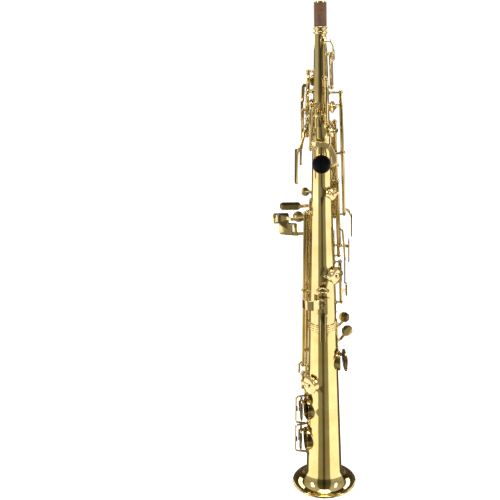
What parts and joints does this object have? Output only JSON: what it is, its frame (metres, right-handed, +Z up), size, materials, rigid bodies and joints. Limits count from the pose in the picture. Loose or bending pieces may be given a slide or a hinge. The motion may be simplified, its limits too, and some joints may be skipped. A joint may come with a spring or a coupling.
{
  "type": "soprano saxophone",
  "caption": "Straight one-piece soprano saxophone: conical brass tube, flared bell, corked neck, padded keys on rods and posts.",
  "frame": {"origin": "on the tube's axis at the plane of the bell's rim", "axes": "+Z up the tube's axis towards the neck, -Y towards the player (thumb rest and hook), +Y towards the front key stacks, +X the side of the right-hand side keys"},
  "size_m": [0.1068, 0.088, 0.65],
  "materials": {
    "lacquered_brass": "clear gold lacquer, polished",
    "rod_steel": "turned, lightly oiled",
    "cork": "fine natural cork, greased and darkened",
    "pad_leather": "tan kid leather pad",
    "pearl": "mother-of-pearl, polished",
    "black_plastic": "moulded, slightly scuffed",
    "bumper_felt": "pressed felt",
    "roller_resin": "turned and polished"
  },
  "bodies": {
    "instrument": {"bell": "lacquered_brass", "body_tube": "lacquered_brass", "joint_band": "lacquered_brass", "octave_pip_tubes": "lacquered_brass", "neck_cork": "cork", "neck_collar": "lacquered_brass", "bell_posts": "lacquered_brass", "body_posts": "lacquered_brass", "hinge_rods": "rod_steel", "thumb_rest_stand": "lacquered_brass", "thumb_rest": "black_plastic", "thumb_hook_plate": "lacquered_brass", "thumb_hook": "lacquered_brass", "thumb_hook_screw": "lacquered_brass", "strap_ring": "lacquered_brass", "bell_key_guard": "lacquered_brass", "guard_bumpers": "bumper_felt"},
    "low_bb_key": {"low_bb_key": "lacquered_brass", "low_bb_pad": "pad_leather"},
    "low_b_key": {"low_b_key": "lacquered_brass", "low_b_pad": "pad_leather"},
    "c_sharp_lever": {"c_sharp_lever": "lacquered_brass"},
    "c_sharp_key": {"c_sharp_key": "lacquered_brass", "c_sharp_pad": "pad_leather"},
    "low_c_key": {"low_c_key": "lacquered_brass", "low_c_pad": "pad_leather"},
    "low_eb_key": {"low_eb_key": "lacquered_brass", "low_eb_pad": "pad_leather"},
    "d_key": {"d_key": "lacquered_brass", "d_pearl": "pearl"},
    "e_key": {"e_key": "lacquered_brass", "e_pearl": "pearl"},
    "f_key": {"f_key": "lacquered_brass", "f_pearl": "pearl"},
    "f_sharp_key": {"f_sharp_key": "lacquered_brass"},
    "f_sharp_trill_key": {"f_sharp_trill_key": "lacquered_brass", "trill_pad": "pad_leather"},
    "g_sharp_key": {"g_sharp_key": "lacquered_brass"},
    "g_key": {"g_key": "lacquered_brass", "g_pearl": "pearl"},
    "bis_key": {"bis_key": "lacquered_brass"},
    "a_key": {"a_key": "lacquered_brass", "a_pearl": "pearl"},
    "b_key": {"b_key": "lacquered_brass", "b_pearl": "pearl"},
    "small_c_key": {"small_c_key": "lacquered_brass"},
    "side_bb_key": {"side_bb_key": "lacquered_brass"},
    "side_c_key": {"side_c_key": "lacquered_brass"},
    "high_e_key": {"high_e_key": "lacquered_brass"},
    "high_d_key": {"high_d_key": "lacquered_brass"},
    "high_eb_key": {"high_eb_key": "lacquered_brass"},
    "high_f_key": {"high_f_key": "lacquered_brass"},
    "octave_lever": {"octave_lever": "lacquered_brass"},
    "body_octave_key": {"body_octave_key": "lacquered_brass"},
    "neck_octave_key": {"neck_octave_key": "lacquered_brass"},
    "c_sharp_roller": {"c_sharp_roller": "roller_resin"},
    "low_bb_roller": {"low_bb_roller": "roller_resin"}
  },
  "joints": [
    {"name": "low_bb_key_swing", "type": "hinge", "parent": "instrument", "child": "low_bb_key", "pos_m": [-0.0183, 0.01895, 0.2002], "axis": [0.0203, -0.021, 0.9996], "range_deg": [0, 9], "stiffness_Nm_per_rad": 0.15, "springref_deg": -11.46},
    {"name": "low_b_key_swing", "type": "hinge", "parent": "instrument", "child": "low_b_key", "pos_m": [-0.0218, 0.01259, 0.24021], "axis": [0.0253, -0.0146, 0.9996], "range_deg": [0, 12], "stiffness_Nm_per_rad": 0.15, "springref_deg": -11.46},
    {"name": "c_sharp_lever_swing", "type": "hinge", "parent": "instrument", "child": "c_sharp_lever", "pos_m": [-0.02446, 0.0052, 0.28023], "axis": [0.0286, -0.0061, 0.9996], "range_deg": [0, 9], "stiffness_Nm_per_rad": 0.15, "springref_deg": -11.46},
    {"name": "c_sharp_key_swing", "type": "hinge", "parent": "instrument", "child": "c_sharp_key", "pos_m": [-0.02755, -0.00096, 0.15821], "axis": [0.0292, 0.001, 0.9996], "range_deg": [-9, 0], "stiffness_Nm_per_rad": 0.15, "springref_deg": 11.46},
    {"name": "low_c_key_swing", "type": "hinge", "parent": "instrument", "child": "low_c_key", "pos_m": [0.01912, 0.01846, 0.1922], "axis": [-0.021, -0.0203, 0.9996], "range_deg": [-13, 0], "stiffness_Nm_per_rad": 0.15, "springref_deg": 11.46},
    {"name": "low_eb_key_swing", "type": "hinge", "parent": "instrument", "child": "low_eb_key", "pos_m": [0.01849, 0.01785, 0.22221], "axis": [-0.021, -0.0203, 0.9996], "range_deg": [-10, 0], "stiffness_Nm_per_rad": 0.15, "springref_deg": 11.46},
    {"name": "d_key_swing", "type": "hinge", "parent": "instrument", "child": "d_key", "pos_m": [0.01577, 0.01879, 0.26221], "axis": [-0.0188, -0.0224, 0.9996], "range_deg": [0, 11], "stiffness_Nm_per_rad": 0.15, "springref_deg": -11.46},
    {"name": "e_key_swing", "type": "hinge", "parent": "instrument", "child": "e_key", "pos_m": [0.01528, 0.01821, 0.2882], "axis": [-0.0188, -0.0224, 0.9996], "range_deg": [0, 11], "stiffness_Nm_per_rad": 0.15, "springref_deg": -11.46},
    {"name": "f_key_swing", "type": "hinge", "parent": "instrument", "child": "f_key", "pos_m": [0.01473, 0.01756, 0.31721], "axis": [-0.0188, -0.0224, 0.9996], "range_deg": [0, 11], "stiffness_Nm_per_rad": 0.15, "springref_deg": -11.46},
    {"name": "f_sharp_key_swing", "type": "hinge", "parent": "instrument", "child": "f_sharp_key", "pos_m": [0.01419, 0.01691, 0.3462], "axis": [-0.0188, -0.0224, 0.9996], "range_deg": [0, 11], "stiffness_Nm_per_rad": 0.15, "springref_deg": -11.46},
    {"name": "f_sharp_trill_key_swing", "type": "hinge", "parent": "instrument", "child": "f_sharp_trill_key", "pos_m": [0.02325, 0.00327, 0.2982], "axis": [-0.0289, -0.0041, 0.9996], "range_deg": [0, 9], "stiffness_Nm_per_rad": 0.15, "springref_deg": -11.46},
    {"name": "g_sharp_key_swing", "type": "hinge", "parent": "instrument", "child": "g_sharp_key", "pos_m": [-0.01458, 0.0151, 0.38321], "axis": [0.0203, -0.021, 0.9996], "range_deg": [0, 9], "stiffness_Nm_per_rad": 0.15, "springref_deg": -11.46},
    {"name": "g_key_swing", "type": "hinge", "parent": "instrument", "child": "g_key", "pos_m": [0.01577, 0.01323, 0.3972], "axis": [-0.0224, -0.0188, 0.9996], "range_deg": [0, 9], "stiffness_Nm_per_rad": 0.15, "springref_deg": -11.46},
    {"name": "bis_key_swing", "type": "hinge", "parent": "instrument", "child": "bis_key", "pos_m": [0.01525, 0.0128, 0.4202], "axis": [-0.0224, -0.0188, 0.9996], "range_deg": [0, 9], "stiffness_Nm_per_rad": 0.15, "springref_deg": -11.46},
    {"name": "a_key_swing", "type": "hinge", "parent": "instrument", "child": "a_key", "pos_m": [0.01474, 0.01237, 0.44321], "axis": [-0.0224, -0.0188, 0.9996], "range_deg": [0, 10], "stiffness_Nm_per_rad": 0.15, "springref_deg": -11.46},
    {"name": "b_key_swing", "type": "hinge", "parent": "instrument", "child": "b_key", "pos_m": [0.0142, 0.01192, 0.4672], "axis": [-0.0224, -0.0188, 0.9996], "range_deg": [0, 10], "stiffness_Nm_per_rad": 0.15, "springref_deg": -11.46},
    {"name": "small_c_key_swing", "type": "hinge", "parent": "instrument", "child": "small_c_key", "pos_m": [0.01368, 0.01148, 0.49021], "axis": [-0.0224, -0.0188, 0.9996], "range_deg": [0, 10], "stiffness_Nm_per_rad": 0.15, "springref_deg": -11.46},
    {"name": "side_bb_key_swing", "type": "hinge", "parent": "instrument", "child": "side_bb_key", "pos_m": [0.02068, -0.00145, 0.39221], "axis": [-0.0292, 0.002, 0.9996], "range_deg": [0, 11], "stiffness_Nm_per_rad": 0.15, "springref_deg": -11.46},
    {"name": "side_c_key_swing", "type": "hinge", "parent": "instrument", "child": "side_c_key", "pos_m": [0.01871, 0.00681, 0.4202], "axis": [-0.0275, -0.01, 0.9996], "range_deg": [0, 11], "stiffness_Nm_per_rad": 0.15, "springref_deg": -11.46},
    {"name": "high_e_key_swing", "type": "hinge", "parent": "instrument", "child": "high_e_key", "pos_m": [0.02581, 0.00363, 0.46642], "axis": [-0.0289, -0.0041, 0.9996], "range_deg": [0, 11], "stiffness_Nm_per_rad": 0.15, "springref_deg": -11.46},
    {"name": "high_d_key_swing", "type": "hinge", "parent": "instrument", "child": "high_d_key", "pos_m": [-0.01675, -0.00449, 0.50821], "axis": [0.0282, 0.0076, 0.9996], "range_deg": [0, 12], "stiffness_Nm_per_rad": 0.15, "springref_deg": -11.46},
    {"name": "high_eb_key_swing", "type": "hinge", "parent": "instrument", "child": "high_eb_key", "pos_m": [-0.01666, 0, 0.53121], "axis": [0.0292, 0, 0.9996], "range_deg": [0, 11], "stiffness_Nm_per_rad": 0.15, "springref_deg": -11.46},
    {"name": "high_f_key_swing", "type": "hinge", "parent": "instrument", "child": "high_f_key", "pos_m": [-0.01536, 0.00412, 0.5572], "axis": [0.0282, -0.0076, 0.9996], "range_deg": [0, 11], "stiffness_Nm_per_rad": 0.15, "springref_deg": -11.46},
    {"name": "octave_lever_swing", "type": "hinge", "parent": "instrument", "child": "octave_lever", "pos_m": [-0.01232, -0.01232, 0.50521], "axis": [0.0207, 0.0207, 0.9996], "range_deg": [0, 6], "stiffness_Nm_per_rad": 0.15, "springref_deg": -11.46},
    {"name": "body_octave_key_swing", "type": "hinge", "parent": "instrument", "child": "body_octave_key", "pos_m": [0.00636, -0.01364, 0.53516], "axis": [-0.0124, 0.0265, 0.9996], "range_deg": [0, 9], "stiffness_Nm_per_rad": 0.15, "springref_deg": -11.46},
    {"name": "neck_octave_key_swing", "type": "hinge", "parent": "instrument", "child": "neck_octave_key", "pos_m": [0.01238, -0.00658, 0.57016], "axis": [-0.0258, 0.0137, 0.9996], "range_deg": [0, 9], "stiffness_Nm_per_rad": 0.15, "springref_deg": -11.46},
    {"name": "c_sharp_roller_spin", "type": "hinge", "parent": "c_sharp_lever", "child": "c_sharp_roller", "pos_m": [-0.0604, 0.00897, 0.38323], "axis": [0, 0, 1], "continuous": true},
    {"name": "low_bb_roller_spin", "type": "hinge", "parent": "low_bb_key", "child": "low_bb_roller", "pos_m": [-0.03425, 0.01664, 0.36727], "axis": [0.0035, 0.0029, 1], "continuous": true}
  ],
  "couplings": [
    {"joint": "c_sharp_key_swing", "follows": "c_sharp_lever_swing", "ratio": -1},
    {"joint": "body_octave_key_swing", "follows": "octave_lever_swing", "ratio": 1.5},
    {"joint": "neck_octave_key_swing", "follows": "octave_lever_swing", "ratio": 1.5},
    {"joint": "f_sharp_key_swing", "follows": "f_key_swing", "ratio": 1},
    {"joint": "small_c_key_swing", "follows": "a_key_swing", "ratio": 1}
  ]
}
